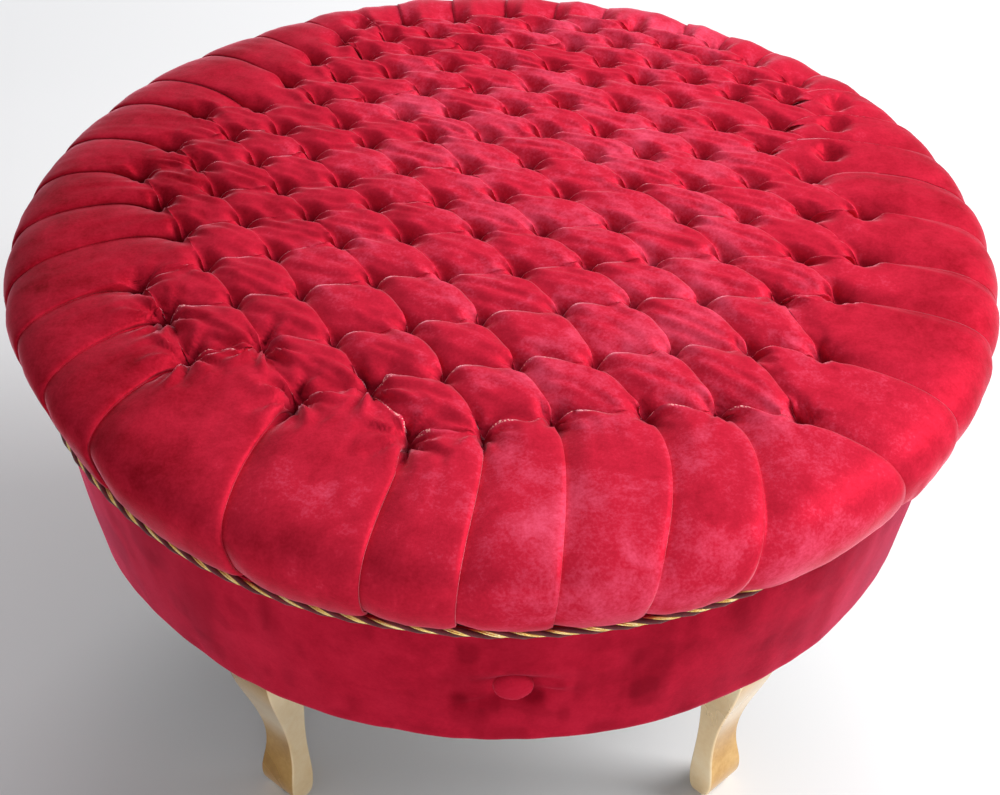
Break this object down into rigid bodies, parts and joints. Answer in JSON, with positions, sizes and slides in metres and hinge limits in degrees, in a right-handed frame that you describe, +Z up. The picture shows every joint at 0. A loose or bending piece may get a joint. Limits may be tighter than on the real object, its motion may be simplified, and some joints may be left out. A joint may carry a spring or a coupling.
{
  "type": "round tufted ottoman",
  "caption": "Round diamond-tufted velvet ottoman with a smooth side band, twisted trim cord, covered front button and gold cabriole legs.",
  "frame": {"origin": "centre of the footprint on the floor, at the underside of the foot glides", "axes": "+Z up along the body's axis; the front, with the covered button, faces -Y; the legs stand on the diagonals between X and Y"},
  "size_m": [0.7959, 0.7959, 0.46],
  "materials": {
    "velvet": "crushed-pile velvet, crimson",
    "wadding": "fibre wadding",
    "foam": "open-cell foam",
    "twine": "waxed twine",
    "cord": "twisted rayon cord",
    "lining": "non-woven lining",
    "plywood": "unfinished",
    "pine": "unfinished",
    "hardboard": "smooth side out",
    "gilt": "gold paint, semi-gloss",
    "steel": "zinc plated",
    "nylon": "moulded"
  },
  "bodies": {
    "root": {"base_board": "plywood", "deck_rail_front": "pine", "deck_rail_rear": "pine", "dust_cover": "lining", "dust_cover_staples": "steel", "foot_glide_front_left": "nylon", "foot_glide_front_right": "nylon", "foot_glide_rear_left": "nylon", "foot_glide_rear_right": "nylon", "frame_screws": "steel", "front_button": "velvet", "front_button_tack": "steel", "leg_bolts": "steel", "leg_front_left": "gilt", "leg_front_right": "gilt", "leg_plate_front_left": "steel", "leg_plate_front_right": "steel", "leg_plate_rear_left": "steel", "leg_plate_rear_right": "steel", "leg_plate_screws": "steel", "leg_rear_left": "gilt", "leg_rear_right": "gilt", "seat_cover": "velvet", "seat_deck": "plywood", "seat_foam": "foam", "seat_wadding": "wadding", "side_cover": "velvet", "side_padding": "foam", "side_panel": "hardboard", "trim_cord": "cord", "tufting_twine": "twine", "twine_staples": "steel", "upright_front": "pine", "upright_front_left": "pine", "upright_front_right": "pine", "upright_left": "pine", "upright_rear": "pine", "upright_rear_left": "pine", "upright_rear_right": "pine", "upright_right": "pine"}
  },
  "joints": []
}
